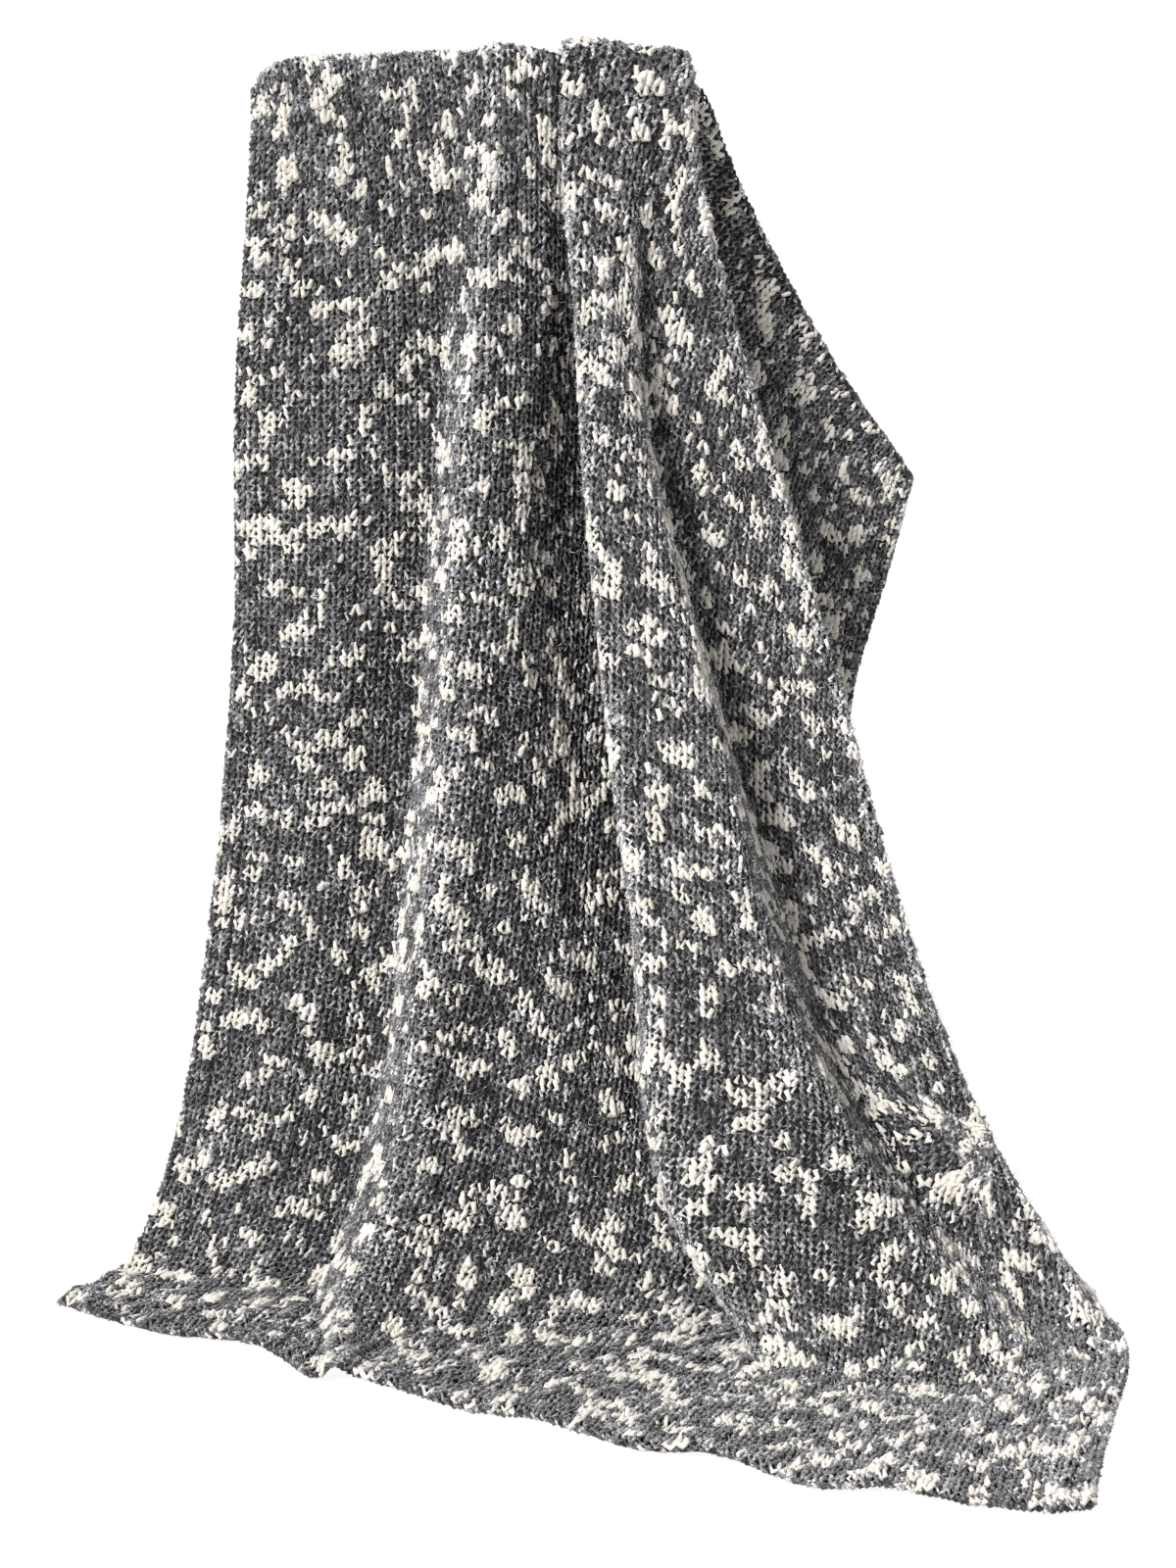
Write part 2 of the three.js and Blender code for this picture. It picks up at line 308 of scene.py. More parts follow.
# %% Soft noise
def soft_noise(x, y, seed, evenness=0.0):
    """Random values between -1 and 1 at whole x and y, blended by a smooth step in between. For
    evenness, each value first loses a share of the mean of its four neighbours."""
    chance = np.random.default_rng(seed)
    x, y = x - x.min() + 0.5, y - y.min() + 0.5
    grid = chance.uniform(-1, 1, (int(y.max()) + 2, int(x.max()) + 2))
    grid = grid - evenness / 4 * sum(np.roll(grid, step, axis) for axis in (0, 1) for step in (-1, 1))
    j, i = y.astype(int), x.astype(int)
    up, over = y - j, x - i
    up, over = up * up * (3 - 2 * up), over * over * (3 - 2 * over)
    lower = grid[j, i] * (1 - over) + grid[j, i + 1] * over
    upper = grid[j + 1, i] * (1 - over) + grid[j + 1, i + 1] * over
    return lower * (1 - up) + upper * up


# %% Dents and a wavering hem
DENT_DEPTH = 0.0035
DENT_WIDTH, DENT_HEIGHT = 0.05, 0.16
DENT_TOP = -0.03
DENT_FADE = 0.12
HEM_WAVE = 0.0045
HEM_WAVE_WIDTH = 0.045
HEM_WAVE_REACH = 0.03
across = np.concatenate([[0], np.cumsum(np.linalg.norm(np.diff(surface, axis=1), axis=2).mean(axis=0))])
surface_height = surface[..., 2]
hangs = np.clip((surface_height - rest_height) / DENT_FADE, 0, 1)
hangs = hangs * np.clip((DENT_TOP - surface_height) / DENT_FADE, 0, 1)
dents = soft_noise(across / DENT_WIDTH * np.ones((SURFACE_ROWS, 1)),
                   along[:, None] / DENT_HEIGHT * np.ones(len(across)), 21)
hem_wave = soft_noise(across / HEM_WAVE_WIDTH, np.zeros(len(across)), 22) * HEM_WAVE
hem_fade = np.exp(-along / HEM_WAVE_REACH)
outward = -unit(slopes_of(surface)[0])
surface = surface + normals_of(surface) * (dents * hangs * DENT_DEPTH)[..., None]
surface[..., :2] += (outward * (hem_wave * hem_fade[:, None])[..., None])[..., :2]
row_slope, column_slope = slopes_of(surface)
surface_normal = normals_of(surface)
print("mean normal", surface_normal.mean(axis=(0, 1)).round(2))

# %% [markdown]
# ## Where each stitch lies
# The fold lines aren't the columns of stitches: on the right the cloth hangs askew. The stitches are
# found as a real knit finds them. Each stitch is a node that slides on the surface, tied to its
# neighbours by springs of the stitch's own width and height, until the whole net is even.

# %% The net of stitches
WALES = 94
COURSES = 190
NET_ROWS = 96
REST_SHARE = 0.96
SKEW_STIFFNESS = 0.35
STEP_SHARE = 0.22
MOST_STEP = 0.3
LEAST_SPREAD = 0.05
COARSE_NODES = 13
NET_STAGES = ((COARSE_NODES, COARSE_NODES, 300), (25, 25, 400), (49, 49, 500), (NET_ROWS, WALES + 1, 500))


def relax(row, column, rounds):
    """Moves the nodes of a net over the surface. Each spring's length is measured through its
    middle on the surface, and each node's pull is turned into steps along rows and columns."""
    courses, wales = row.shape[0] - 1, row.shape[1] - 1
    width = CLOTH_WIDTH * REST_SHARE / wales
    height = CLOTH_LENGTH * REST_SHARE / courses
    slant = math.hypot(width, height)
    links = [((0, 1), width, 1.0), ((1, 0), height, 1.0),
             ((1, 1), slant, SKEW_STIFFNESS), ((1, -1), slant, SKEW_STIFFNESS)]
    for _ in range(rounds):
        place = look_up(surface, row, column)
        pull = np.zeros_like(place)
        for (up, over), length, stiffness in links:
            one = (slice(0, courses + 1 - up), slice(max(0, -over), wales + 1 - max(0, over)))
            other = (slice(up, courses + 1), slice(max(0, over), wales + 1 + min(0, over)))
            middle = look_up(surface, (row[one] + row[other]) / 2, (column[one] + column[other]) / 2)
            half_one, half_other = middle - place[one], middle - place[other]
            long_one = np.linalg.norm(half_one, axis=-1, keepdims=True) + 1e-9
            long_other = np.linalg.norm(half_other, axis=-1, keepdims=True) + 1e-9
            force = stiffness * (long_one + long_other - length)
            pull[one] += force * half_one / long_one
            pull[other] += force * half_other / long_other
        along_row = look_up(row_slope, row, column)
        along_column = look_up(column_slope, row, column)
        row_row = (along_row**2).sum(-1) + 1e-12
        column_column = (along_column**2).sum(-1) + 1e-12
        row_column = (along_row * along_column).sum(-1)
        pull_row, pull_column = (pull * along_row).sum(-1), (pull * along_column).sum(-1)
        least = LEAST_SPREAD * row_row * column_column
        spread = np.maximum(row_row * column_column - row_column**2, least)
        step_row = (column_column * pull_row - row_column * pull_column) / spread
        step_column = (row_row * pull_column - row_column * pull_row) / spread
        step_row[:, [0, -1]] = (pull_row / row_row)[:, [0, -1]]
        step_column[[0, -1]] = (pull_column / column_column)[[0, -1]]
        step_row[[0, -1]] = 0
        step_column[:, [0, -1]] = 0
        most = MOST_STEP * SURFACE_ROWS / courses
        row = np.clip(row + np.clip(STEP_SHARE * step_row, -most, most), 0, surface.shape[0] - 1)
        column = np.clip(column + np.clip(STEP_SHARE * step_column, -most, most), 0, surface.shape[1] - 1)
    return row, column


def finer(grid, rows, columns):
    """The same net with more nodes, by natural splines up and across."""
    up = natural_spline(np.linspace(0, 1, grid.shape[0]), grid, np.linspace(0, 1, rows))
    return natural_spline(np.linspace(0, 1, grid.shape[1]), up.T, np.linspace(0, 1, columns)).T


arc = np.cumsum(np.linalg.norm(np.diff(surface, axis=1), axis=2).mean(axis=0))
start_columns = np.interp(np.linspace(0, 1, COARSE_NODES), np.concatenate([[0], arc / arc[-1]]),
                          np.arange(surface.shape[1]))
net_row = np.linspace(0, SURFACE_ROWS - 1, COARSE_NODES)[:, None] * np.ones(COARSE_NODES)
net_column = np.ones(COARSE_NODES)[:, None] * start_columns
for rows, columns, rounds in NET_STAGES:
    net_row, net_column = finer(net_row, rows, columns), finer(net_column, rows, columns)
    net_row, net_column = relax(net_row, net_column, rounds)
    placed = look_up(surface, net_row, net_column)
    wide = np.linalg.norm(np.diff(placed, axis=1), axis=2) * (columns - 1) / WALES
    tall = np.linalg.norm(np.diff(placed, axis=0), axis=2) * (rows - 1) / COURSES
    print(rows, "rows: stitch width", np.percentile(wide, [2, 50, 98]).round(4),
          "height", np.percentile(tall, [2, 50, 98]).round(4))

# %% [markdown]
# ## The yarn's path
# In stocking stitch one yarn runs to and fro. In each stitch it makes a loop: from the low arc
# between two columns up a leg, over the head, down the other leg. The legs lie on the face, where
# they make a V, and the arcs lie on the back. The path of every loop is one formula in stitch
# units, and the net of stitches carries it onto the folds.

# %% The path in stitches
STEPS_PER_STITCH = 6
LOOP_BULGE = 0.25
LOOP_REACH = 0.95
LOOP_DEPTH = 0.0031
LOOP_LEAN = 0.0009
WANDER = 0.08
DEPTH_WANDER = 0.001
BANDS = 5


def course_path(course):
    """Stitch places of one course: wales along it with a bulge twice a stitch, height as a cosine,
    and depth as a cosine of twice the turn. Every other course runs back."""
    turn = np.arange(WALES * STEPS_PER_STITCH + 1) * (2 * np.pi / STEPS_PER_STITCH)
    wale = turn / (2 * np.pi) + LOOP_BULGE * np.sin(2 * turn)
    height = course + 0.5 - LOOP_REACH * np.cos(turn)
    depth = -LOOP_DEPTH * np.cos(2 * turn) + LOOP_LEAN * np.cos(turn)
    leg = np.minimum(np.round(turn / np.pi - 0.49), 2 * WALES - 1)
    path = np.stack([wale, height, depth, np.full_like(turn, course), leg], axis=1)
    return path if course % 2 == 0 else path[::-1]


def smoothed(values, rounds):
    """Each value replaced by the mean of itself and its two neighbours along the yarn, again and again."""
    for _ in range(rounds):
        values = (np.roll(values, 1, axis=0) + 2 * values + np.roll(values, -1, axis=0)) / 4
    return values


def band_path(band):
    """The path of a fifth of the courses, joined at the sides, with a small random wander."""
    courses = range(band * COURSES // BANDS, (band + 1) * COURSES // BANDS)
    path = np.concatenate([course_path(course) for course in courses])
    chance = np.random.default_rng(100 + band)
    path[:, :2] += WANDER * smoothed(chance.normal(0, 1, (len(path), 2)), 1)
    path[:, 2] += DEPTH_WANDER * smoothed(chance.normal(0, 1, len(path)), 1)
    path[:, 0] = np.clip(path[:, 0], 0, WALES)
    path[:, 1] = (path[:, 1] + LOOP_REACH - 0.5) * COURSES / (COURSES + 2 * LOOP_REACH - 1)
    path[:, 1] = np.clip(path[:, 1], 0, COURSES)
    return path


paths = [band_path(band) for band in range(BANDS)]
print("yarn points", sum(len(path) for path in paths))


# %% From stitches to the cloth
def at_node(grid, wale, height):
    """The value of a grid of the net's nodes at wales and courses."""
    return look_up(grid[..., None], height * (NET_ROWS - 1) / COURSES, wale)[..., 0]


def at_stitch(grid, wale, height):
    """The value of a grid of the surface at wales and courses: first the net gives the row and
    column there, then the grid is looked up."""
    return look_up(grid, at_node(net_row, wale, height), at_node(net_column, wale, height))


def on_cloth(wale, height):
    """Places on the cloth and its normals there."""
    return at_stitch(surface, wale, height), unit(at_stitch(surface_normal, wale, height))


# %% Where the cloth is drawn open
MOST_OPEN = 1.5
course_step, wale_step = slopes_of(look_up(surface, net_row, net_column))
stitch_area = np.linalg.norm(np.cross(course_step, wale_step), axis=-1) * (NET_ROWS - 1) / COURSES
flat_area = CLOTH_WIDTH * CLOTH_LENGTH / (WALES * COURSES)
openness = np.clip(np.sqrt(stitch_area / flat_area), 1, MOST_OPEN)
print("drawn open by a tenth or more:", round(float((openness > 1.1).mean()), 3), "of the cloth")


# %% Crests
# The crest measure lifts the yarn's tone as a painted highlight, and draws more fibres to the crests.
CREST_BEND = 32.0
normal_change = slopes_of(surface_normal)[1]
bend = (normal_change * column_slope).sum(-1) / np.maximum((column_slope**2).sum(-1), 1e-9)
crest = np.clip(bend / CREST_BEND, 0, 1)[..., None]
print("crests cover", round(float((crest > 0.5).mean()), 3), "of the cloth")


# %% [markdown]
# ## Dye
# Short lengths of the yarn are left cream. Each makes a run of two or three stitches along its own
# course, and where the runs of neighbouring courses happen to meet, they make a ragged splash.
# So a leg's dye is the sum of a slow change over the cloth, evened out so that the splashes stand
# apart, a quicker one along each course by itself, and a little chance.

# %% Dye of each leg
CREAM_SHARE = 0.21
SPLASH_WIDTH, SPLASH_HEIGHT, SPLASH_EVENNESS = 1.85, 2.9, 0.75
RUN_WIDTH = 1.4
TONE_WIDTH, TONE_HEIGHT = 1.5, 2.5
leg_wale = (np.arange(2 * WALES) + 0.5) / 2 * np.ones((COURSES, 1))
leg_height = np.arange(COURSES)[:, None] * np.ones(2 * WALES)
leg_chance = np.random.default_rng(7)
leg_dye = (0.64 * soft_noise(leg_wale / SPLASH_WIDTH, leg_height / SPLASH_HEIGHT, 11, SPLASH_EVENNESS)
           + 0.46 * soft_noise(leg_wale / RUN_WIDTH, leg_height * 2, 12)
           + 0.13 * leg_chance.normal(0, 1, leg_wale.shape))
leg_dye -= np.quantile(leg_dye, 1 - CREAM_SHARE)
leg_tone = (0.6 * soft_noise(leg_wale / TONE_WIDTH, leg_height / TONE_HEIGHT, 13)
            + 0.6 * leg_chance.normal(0, 1, leg_dye.shape))
print("cream legs", int((leg_dye > 0).sum()), "of", leg_dye.size)

# %% [markdown]
# ## The yarn's body
# A tube of four sides follows the path; smooth shading makes it round. Its width changes as the real
# thick-and-thin yarn does, each of its points stands a little in or out, cream lengths are puffed
# up, and it fills out where a tight bend draws the cloth open. Short light flecks lie along it. Its
# tone carries painted shade where it dives between the legs, a little painted light where it lies
# on either face, and a painted highlight along the crests of the folds. Where the cloth lies on the
# floor nothing pulls it straight, so its yarn stands up in small lumps.

# %% A tube along a path
TUBE_SIDES = 4
YARN_RADIUS = 0.00195
SLUB_RANGE = (0.7, 1.4)
POINT_SCATTER = 0.2
POINT_RANGE = (0.6, 1.5)


def tube(place, normal, radius):
    """Rings of points round a path, with a radius for each point. Each ring lies across the path's
    direction, with one axis along the cloth and the other towards its face; two end points close it."""
    direction = unit(np.gradient(place, axis=0))
    side = unit(np.cross(direction, normal))
    out = np.cross(side, direction)
    turn = np.arange(TUBE_SIDES) * (2 * np.pi / TUBE_SIDES)
    ring = side[:, None] * np.cos(turn)[:, None] + out[:, None] * np.sin(turn)[:, None]
    points = (place[:, None] + ring * radius[..., None]).reshape(-1, 3)
    count = len(place)
    start = np.arange(count - 1)[:, None] * TUBE_SIDES
    here = np.arange(TUBE_SIDES)
    following = (here + 1) % TUBE_SIDES
    quads = np.stack([start + here, start + following, start + TUBE_SIDES + following,
                      start + TUBE_SIDES + here], axis=-1).reshape(-1, 4)
    first, last = len(points), len(points) + 1
    tail = (count - 1) * TUBE_SIDES
    ends = np.concatenate([np.stack([following, here, np.full(TUBE_SIDES, first)], axis=1),
                           np.stack([tail + here, tail + following, np.full(TUBE_SIDES, last)], axis=1)])
    return np.concatenate([points, place[:1], place[-1:]]), quads, ends


# %% A mesh from arrays
def add_mesh(name, points, quads, triangles, smooth=True):
    """A mesh object at the origin from arrays of points, four-sided and three-sided faces."""
    mesh = bpy.data.meshes.new(name)
    corners = np.concatenate([quads.ravel(), triangles.ravel()]).astype(np.int32)
    starts = np.concatenate([np.arange(len(quads)) * 4, len(quads) * 4 + np.arange(len(triangles)) * 3])
    mesh.vertices.add(len(points))
    mesh.vertices.foreach_set("co", points.astype(np.float32).ravel())
    mesh.loops.add(len(corners))
    mesh.loops.foreach_set("vertex_index", corners)
    mesh.polygons.add(len(starts))
    mesh.polygons.foreach_set("loop_start", starts.astype(np.int32))
    mesh.update(calc_edges=True)
    mesh.polygons.foreach_set("use_smooth", np.full(len(starts), smooth))
    piece = bpy.data.objects.new(name, mesh)
    bpy.context.scene.collection.objects.link(piece)
    print(name, len(points), "points", 2 * len(quads) + len(triangles), "triangles")
    return piece


def point_values(piece, name, values):
    """Stores one number for each point of a piece."""
    piece.data.attributes.new(name, "FLOAT", "POINT").data.foreach_set("value", values.astype(np.float32))


# %% A piece of yarn
def add_yarn(name, place, normal, radius, dye, tone_and_painted_light, chance):
    """A tube piece that carries its dye and its tone, painted shade and highlight included, at each
    point, with the yarn's length and turn as its own map."""
    scatter = np.clip(1 + POINT_SCATTER * chance.normal(0, 1, (len(place), TUBE_SIDES)), *POINT_RANGE)
    points, quads, ends = tube(place, normal, radius[:, None] * scatter)
    piece = add_mesh(name, points, quads, ends)
    for key, values in (("dye", dye), ("tone_and_painted_light", tone_and_painted_light)):
        point_values(piece, key, np.concatenate([np.repeat(values, TUBE_SIDES), values[[0, -1]]]))
    length = np.concatenate([[0], np.cumsum(np.linalg.norm(np.diff(place, axis=0), axis=1))])
    step = np.arange(len(place) - 1)[:, None] * np.ones(TUBE_SIDES, int)
    angle = np.arange(TUBE_SIDES)[None] * np.ones((len(place) - 1, 1))
    u = np.stack([length[step], length[step], length[step + 1], length[step + 1]], axis=-1)
    v = np.stack([angle, angle + 1, angle + 1, angle], axis=-1) / TUBE_SIDES
    uv = np.concatenate([np.stack([u, v], axis=-1).reshape(-1, 2), np.zeros((ends.size, 2))])
    piece.data.uv_layers.new(name="Yarn").uv.foreach_set("vector", uv.astype(np.float32).ravel())
    return piece


# %% The courses of yarn
FLECK_SHARE = 0.04
FLECK_LIGHT = 3.0
DEEP_SHADE = 2.0
DEEP_FROM, DEEP_LEAST = 0.45, -0.35
CREST_PAINTED_HIGHLIGHT = 0.9
TONE_CHANCE = 0.3
SLUB = 0.45
CREAM_PUFF = 0.5
LEG_FULLNESS = 0.12
LUMP_HEIGHT = 0.007
LUMP_REACH = 0.07
LUMP_BASE = 0.4
lump_rows, lump_columns = np.mgrid[0:2 * COURSES + 1, 0:2 * WALES + 1] / 2
lumps = np.clip(soft_noise(lump_columns, lump_rows / 2, 31), -LUMP_BASE, 1) + LUMP_BASE
yarn_pieces = []
for band, path in enumerate(paths):
    wale, height, depth, course, leg = path.T
    place, normal = on_cloth(wale, height)
    # Painted shade: the tone is lowered where the yarn dives between the legs at mid depth, and raised a
    # little, as painted light, where it lies on either face.
    painted_dive_shade = np.clip(DEEP_FROM - np.abs(depth) / LOOP_DEPTH, DEEP_LEAST, DEEP_FROM)
    slack = np.clip((FLOOR + LUMP_REACH - place[:, 2]) / LUMP_REACH, 0, 1)
    depth = depth + LUMP_HEIGHT * slack * look_up(lumps[..., None], 2 * height, 2 * wale)[:, 0]
    dye = leg_dye[course.astype(int), leg.astype(int)]
    chance = np.random.default_rng(300 + band)
    tone_and_painted_light = leg_tone[course.astype(int), leg.astype(int)] + TONE_CHANCE * chance.normal(0, 1, len(path))
    tone_and_painted_light += FLECK_LIGHT * smoothed(chance.random(len(path)) < FLECK_SHARE, 1) - DEEP_SHADE * painted_dive_shade
    # Painted highlight: the tone is raised along the crests of the folds.
    tone_and_painted_light += CREST_PAINTED_HIGHLIGHT * at_stitch(crest, wale, height)[:, 0]
    slub = np.clip(1 + SLUB * smoothed(chance.normal(0, 1, len(path)), 6), *SLUB_RANGE)
    puff = 1 + CREAM_PUFF * (dye > 0)
    full = 1 + LEG_FULLNESS * np.clip(depth / LOOP_DEPTH, -1, 1)
    full *= at_node(openness, wale, height)
    yarn_pieces.append(add_yarn(f"yarn_courses_{band + 1}", place + normal * depth[:, None], normal,
                                YARN_RADIUS * slub * puff * full, dye, tone_and_painted_light, chance))

# %% [markdown]
# ## The edges
# The hem is cast on and the other end bound off, which leaves a rope of yarn along each, and the
# sides have a chain of turned stitches. All four are made as two plies that wind round each other.

# %% The edge cords
CORD_REACH = 0.0021
CORD_RADIUS = 0.0024
CORD_PITCH = 0.014
CORD_STEP = 0.0035
CORD_SLUB = 0.5
CORD_DYE, CORD_GREY = 0.3, 0.12
# The second number lowers the tone of every edge cord: painted shade, so that the sunlit edges read dark.
CORD_TONE, CORD_PAINTED_SHADE = 2.2, 0.5
HEM_INSET = 0.3
SELVAGE_INSET = 0.15


def add_edge(name, wale_ends, height_ends, seed):
    """Two plies along a border line of the net. Each ply's offset turns about the line: a cosine of
    the turn towards the face and a sine of it across."""
    length = CLOTH_WIDTH if height_ends[0] == height_ends[1] else CLOTH_LENGTH
    share = np.linspace(0, 1, int(length / CORD_STEP))
    line, normal = on_cloth(wale_ends[0] + (wale_ends[1] - wale_ends[0]) * share,
                            height_ends[0] + (height_ends[1] - height_ends[0]) * share)
    side = unit(np.cross(np.gradient(line, axis=0), normal))
    for ply in range(2):
        chance = np.random.default_rng(seed + ply)
        turn = (2 * np.pi * length / CORD_PITCH * share + np.pi * ply)[:, None]
        place = line + CORD_REACH * (normal * np.cos(turn) + side * np.sin(turn))
        slub = np.clip(1 + CORD_SLUB * smoothed(chance.normal(0, 1, len(share)), 3), *SLUB_RANGE)
        dye = CORD_DYE * smoothed(chance.normal(0, 1, len(share)), 8) - CORD_GREY
        tone_and_painted_light = CORD_TONE * smoothed(chance.normal(0, 1, len(share)), 1) - CORD_PAINTED_SHADE
        yarn_pieces.append(add_yarn(f"{name}_ply_{ply + 1}", place, normal, CORD_RADIUS * slub, dye, tone_and_painted_light,
                                    chance))


add_edge("cast_on_hem", (0, WALES), (HEM_INSET, HEM_INSET), 400)
add_edge("bound_off_end", (0, WALES), (COURSES, COURSES), 410)
add_edge("left_selvage", (SELVAGE_INSET, SELVAGE_INSET), (0, COURSES), 420)
add_edge("right_selvage", (WALES - SELVAGE_INSET, WALES - SELVAGE_INSET), (0, COURSES), 430)

# %% [markdown]
# ## The ground of the cloth
# Between the legs one looks into the shaded inside of the knit. A closed sheet on the middle surface
# stands there, so that no light comes through, and it is the cloth's measured body. Its border
# stays a third of a stitch inside the yarn's.

# %% The ground sheet
# The sheet's near-black finish is painted shade, standing where between the legs there is only shade.
GROUND_ROWS = 131
GROUND_COLUMNS = 121
GROUND_INSET = 0.35
ground_wale = np.linspace(GROUND_INSET, WALES - GROUND_INSET, GROUND_COLUMNS) * np.ones((GROUND_ROWS, 1))
ground_height = np.linspace(GROUND_INSET, COURSES - GROUND_INSET, GROUND_ROWS)[:, None]
ground_height = ground_height * np.ones(GROUND_COLUMNS)
ground, ground_normal = on_cloth(ground_wale, ground_height)
half = SHEET_THICKNESS / 2
layers = np.concatenate([(ground + ground_normal * half).reshape(-1, 3),
                         (ground - ground_normal * half).reshape(-1, 3)])
index = np.arange(GROUND_ROWS * GROUND_COLUMNS).reshape(GROUND_ROWS, GROUND_COLUMNS)
cells = np.stack([index[:-1, :-1], index[:-1, 1:], index[1:, 1:], index[1:, :-1]], axis=-1).reshape(-1, 4)
rim = np.concatenate([index[0, :], index[1:, -1], index[-1, -2::-1], index[-2:0:-1, 0]])
rim_next = np.roll(rim, -1)
back = index.size
walls = np.stack([rim_next, rim, rim + back, rim_next + back], axis=-1)
ground_piece = add_mesh("knit_ground", layers, np.concatenate([cells, cells[:, ::-1] + back, walls]),
                        np.zeros((0, 3), int))

# %% [markdown]
# ## Fibres
# A soft yarn sheds single fibres that stand out all over and catch the light along every crest.
# Modelled as hair they would cost far too much. Each is one long thin triangle that starts in the
# yarn and leans out at random.

# %% The fibres
FIBRES = 34000
FIBRES_OFF_CREST = 0.25
FIBRE_WIDTH = 0.00035
FIBRE_LENGTH = (0.004, 0.011)
FIBRE_LEAN = 0.55
FIBRE_START = 0.003
FIBRE_CLEARANCE = 0.0005
chance = np.random.default_rng(500)
wale, height = chance.uniform(0, (WALES, COURSES), (4 * FIBRES, 2)).T
wanted = FIBRES_OFF_CREST + at_stitch(crest, wale, height)[:, 0]
picked = chance.choice(len(wale), FIBRES, replace=False, p=wanted / wanted.sum())
root, normal = on_cloth(wale[picked], height[picked])
lean = unit(unit(chance.normal(0, 1, (FIBRES, 3))) + FIBRE_LEAN * normal)
broad = unit(np.cross(lean, unit(chance.normal(0, 1, (FIBRES, 3)))))
root = root + normal * FIBRE_START
reach = chance.uniform(*FIBRE_LENGTH, (FIBRES, 1))
foot_width = broad * FIBRE_WIDTH
fibre_points = np.stack([root - foot_width, root + foot_width, root + lean * reach], axis=1)
fibre_points[..., 2] = np.maximum(fibre_points[..., 2], FLOOR + FIBRE_CLEARANCE)
fibre_piece = add_mesh("loose_fibres", fibre_points.reshape(-1, 3), np.zeros((0, 4), int),
                       np.arange(3 * FIBRES).reshape(-1, 3), smooth=False)

# %% [markdown]
# ## Finishes
# A material is a tree of nodes. Two small classes let it be written as sums: one stands for a value
# in the tree and knows plus, minus and times; the other makes the nodes.

# %% Shader sums
class Sum:
    """A shader value that adds Math nodes as an expression is written."""

    def __init__(self, finish, socket):
        self.finish, self.socket = finish, socket

    def math(self, operation, *values):
        return self.finish.node("ShaderNodeMath", {"operation": operation}, *values)

    def __add__(self, other):
        return self.math("ADD", self, other)

    def __sub__(self, other):
        return self.math("SUBTRACT", self, other)

    def __mul__(self, other):
        return self.math("MULTIPLY", self, other)

    __radd__, __rmul__ = __add__, __mul__

    def __rsub__(self, other):
        return self.math("SUBTRACT", other, self)

    def sine(self):
        return self.math("SINE", self)


class Finish:
    """A material being made: node() adds any node, with its settings first and then its values."""

    def __init__(self, name):
        self.material = bpy.data.materials.new(name)
        self.material.use_nodes = True
        self.nodes, self.links = self.material.node_tree.nodes, self.material.node_tree.links
        self.shader = self.nodes["Principled BSDF"]

    def node(self, kind, settings, *values, output=0, **named):
        made = self.nodes.new(kind)
        for key, value in settings.items():
            setattr(made, key, value)
        for key, value in [*enumerate(values), *named.items()]:
            self.feed(made.inputs[key], value)
        return Sum(self, made.outputs[output])

    def feed(self, socket, value):
        if isinstance(value, Sum):
            self.links.new(value.socket, socket)
        else:
            socket.default_value = value

    def ramp(self, factor, stops):
        """Colours at positions along the factor."""
        made = self.nodes.new("ShaderNodeValToRGB")
        for _ in range(len(stops) - 2):
            made.color_ramp.elements.new(0.5)
        for element, (position, colour) in zip(made.color_ramp.elements, stops):
            element.position, element.color = position, (*colour, 1)
        self.feed(made.inputs[0], factor)
        return Sum(self, made.outputs[0])

    def blend(self, factor, one, other):
        """One colour where the factor is 0 and the other where it is 1."""
        made = self.nodes.new("ShaderNodeMix")
        made.data_type = "RGBA"
        for key, value in ((0, factor), (6, one), (7, other)):
            self.feed(made.inputs[key], (*value, 1) if isinstance(value, tuple) else value)
        return Sum(self, made.outputs[2])

    def step(self, value, low, high):
        """0 below low and 1 above high, with a smooth change between."""
        return self.node("ShaderNodeMapRange", {"interpolation_type": "SMOOTHSTEP"}, value, low, high)

    def noise(self, place, scale, detail):
        return self.node("ShaderNodeTexNoise", {}, place, Scale=scale, Detail=detail)

    def constants(self, **values):
        """Fixed numbers of the shader, by the names of its sockets."""
        for name, value in values.items():
            self.shader.inputs[name.replace("_", " ")].default_value = value


# %% [markdown]
# ## The yarn's finish
# The yarn is marled: plies of light and dark grey wind round each other, and single fibres of both
# show on top. The map of length and turn gives the spiral, and noise in the object's own space
# gives the specks.

# %% The yarn's finish
PLY_PITCH = 0.011
yarn = Finish("boucle_yarn")
dye = yarn.node("ShaderNodeAttribute", {"attribute_name": "dye"}, output=2)
tone_and_painted_light = yarn.node("ShaderNodeAttribute", {"attribute_name": "tone_and_painted_light"}, output=2)
lie = yarn.node("ShaderNodeSeparateXYZ", {}, yarn.node("ShaderNodeUVMap", {"uv_map": "Yarn"}))
round_yarn = Sum(yarn, lie.socket.node.outputs[1])
body = yarn.node("ShaderNodeTexCoord", {}, output=3)
wave = ((lie * (1 / PLY_PITCH) + round_yarn) * (2 * math.pi * 2)).sine()
hair = yarn.noise(yarn.node("ShaderNodeCombineXYZ", {}, lie * 160, round_yarn * 3, 0.0), 1.0, 3.0)
speck = yarn.noise(body, 620.0, 2.0)
clump = yarn.noise(body, 210.0, 2.0)
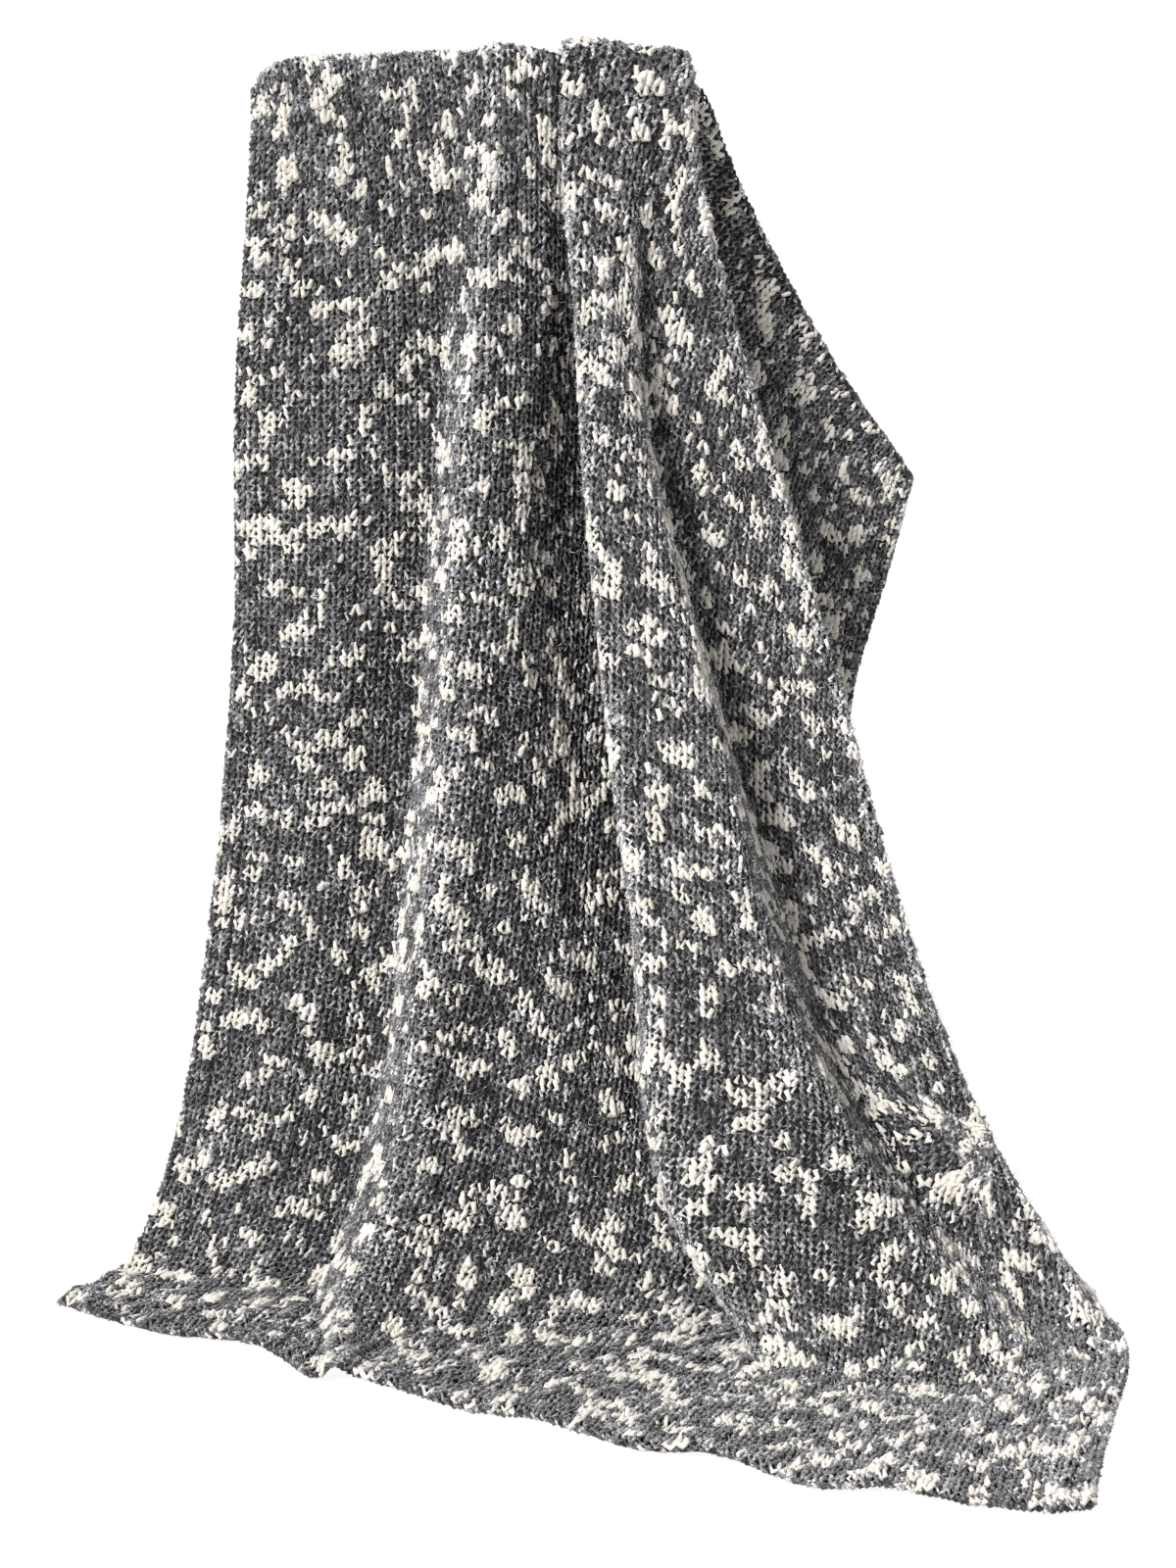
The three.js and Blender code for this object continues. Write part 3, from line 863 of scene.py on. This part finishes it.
# The tone attribute brings random tone and light flecks, and with them painted shade where the yarn dives
# and on the edge cords, and a painted highlight on the crests; it darkens or lightens both the greys and the
# creams.
marl_and_painted_light = wave * 0.10 + tone_and_painted_light * 0.17 + (hair - 0.5) * 0.5 + (speck - 0.5) * 0.6 + (clump - 0.5) * 1.2 + 0.475
greys = yarn.ramp(marl_and_painted_light, [(0.12, (0.010, 0.0095, 0.010)), (0.38, (0.045, 0.044, 0.047)),
                         (0.62, (0.145, 0.142, 0.149)), (0.8, (0.32, 0.315, 0.32)),
                         (1.0, (0.70, 0.69, 0.68))])
creams = yarn.ramp((hair - 0.5) * 0.8 + (speck - 0.5) * 0.8 + tone_and_painted_light * 0.12 + 0.6,
                   [(0.0, (0.29, 0.255, 0.215)), (0.4, (0.56, 0.52, 0.46)), (1.0, (0.74, 0.71, 0.66))])
is_cream = yarn.step(dye + (hair - 0.5) * 0.08 + (speck - 0.5) * 0.1, -0.02, 0.02)
yarn.feed(yarn.shader.inputs["Base Color"], yarn.blend(is_cream, greys, creams))
yarn.feed(yarn.shader.inputs["Normal"],
          yarn.node("ShaderNodeBump", {}, Strength=0.8, Distance=0.0012, Height=wave * 0.2 + hair + speck))
yarn.constants(Roughness=0.95, Sheen_Weight=0.35, Sheen_Roughness=0.5, Specular_IOR_Level=0.1)
for piece in yarn_pieces:
    piece.data.materials.append(yarn.material)

# %% The ground's and the fibres' finish
# Painted shade: the ground sheet is near black with a little mottle, for the shade between the legs.
painted_shade_finish = Finish("shaded_knit")
shade_mottle = painted_shade_finish.noise(painted_shade_finish.node("ShaderNodeTexCoord", {}, output=3), 320.0, 3.0)
painted_shade_finish.feed(painted_shade_finish.shader.inputs["Base Color"],
            painted_shade_finish.ramp(shade_mottle, [(0.35, (0.006, 0.006, 0.006)), (0.55, (0.018, 0.017, 0.017)),
                                (0.7, (0.08, 0.077, 0.077))]))
painted_shade_finish.constants(Roughness=1.0, Specular_IOR_Level=0.0)
ground_piece.data.materials.append(painted_shade_finish.material)

fibre = Finish("loose_fibre")
shade = fibre.noise(fibre.node("ShaderNodeTexCoord", {}, output=3), 150.0, 1.0)
fibre.feed(fibre.shader.inputs["Base Color"],
           fibre.ramp(shade, [(0.35, (0.16, 0.157, 0.16)), (0.6, (0.62, 0.6, 0.58))]))
fibre.constants(Roughness=0.9, Specular_IOR_Level=0.1)
fibre_piece.data.materials.append(fibre.material)

# %% [markdown]
# ## Floor and light
# The throw stands against a pale ground that glows a little, so that it stays nearly white. One
# broad soft light comes from the left front and above, a weak one fills from the right, and a third
# lights the back. The rest of the room is pale and dim.

# %% Floor and light
FLOOR_REACH = 30.0
ROOM_LIGHT = 0.08
floor_corners = FLOOR_REACH * np.array([[-1, -1], [1, -1], [1, 1], [-1, 1]])
floor = add_mesh("floor", np.column_stack([floor_corners, np.full(4, FLOOR)]), np.array([[0, 1, 2, 3]]),
                 np.zeros((0, 3), int), smooth=False)
floor_finish = Finish("pale_floor")
floor_finish.constants(Base_Color=(0.1, 0.1, 0.1, 1), Emission_Color=(1, 1, 1, 1), Emission_Strength=0.93,
                       Roughness=1.0, Specular_IOR_Level=0.0)
floor.data.materials.append(floor_finish.material)


def far_light(name, energy, softness, fall, side):
    """A broad far lamp: fall is its angle from straight above and side its turn from the front,
    both in degrees, with the left negative."""
    lamp = bpy.data.lights.new(name, "SUN")
    lamp.energy, lamp.angle = energy, math.radians(softness)
    holder = bpy.data.objects.new(name, lamp)
    holder.rotation_euler = (math.radians(fall), 0, math.radians(side))
    bpy.context.scene.collection.objects.link(holder)


far_light("key", energy=5.2, softness=16, fall=50, side=-45)
far_light("fill", energy=0.9, softness=60, fall=55, side=42)
far_light("back", energy=2.6, softness=60, fall=50, side=165)
world = bpy.data.worlds.new("studio")
bpy.context.scene.world = world
world.use_nodes = True
sky = world.node_tree.nodes["Background"]
sky.inputs["Color"].default_value = (1, 1, 1, 1)
sky.inputs["Strength"].default_value = ROOM_LIGHT
bpy.context.scene.view_settings.view_transform = "Standard"
print("lights:", [lamp.name for lamp in bpy.data.lights])

# %% [markdown]
# ## Join to the model
# Each piece is tied to the body that it moves with. The ground sheet replaces the imported model's
# plain solid.

# %% Join to the model
yarn_and_fibres = [*yarn_pieces, fibre_piece]
for piece in [ground_piece, *yarn_and_fibres]:
    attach(piece, "root")
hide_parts("throw")
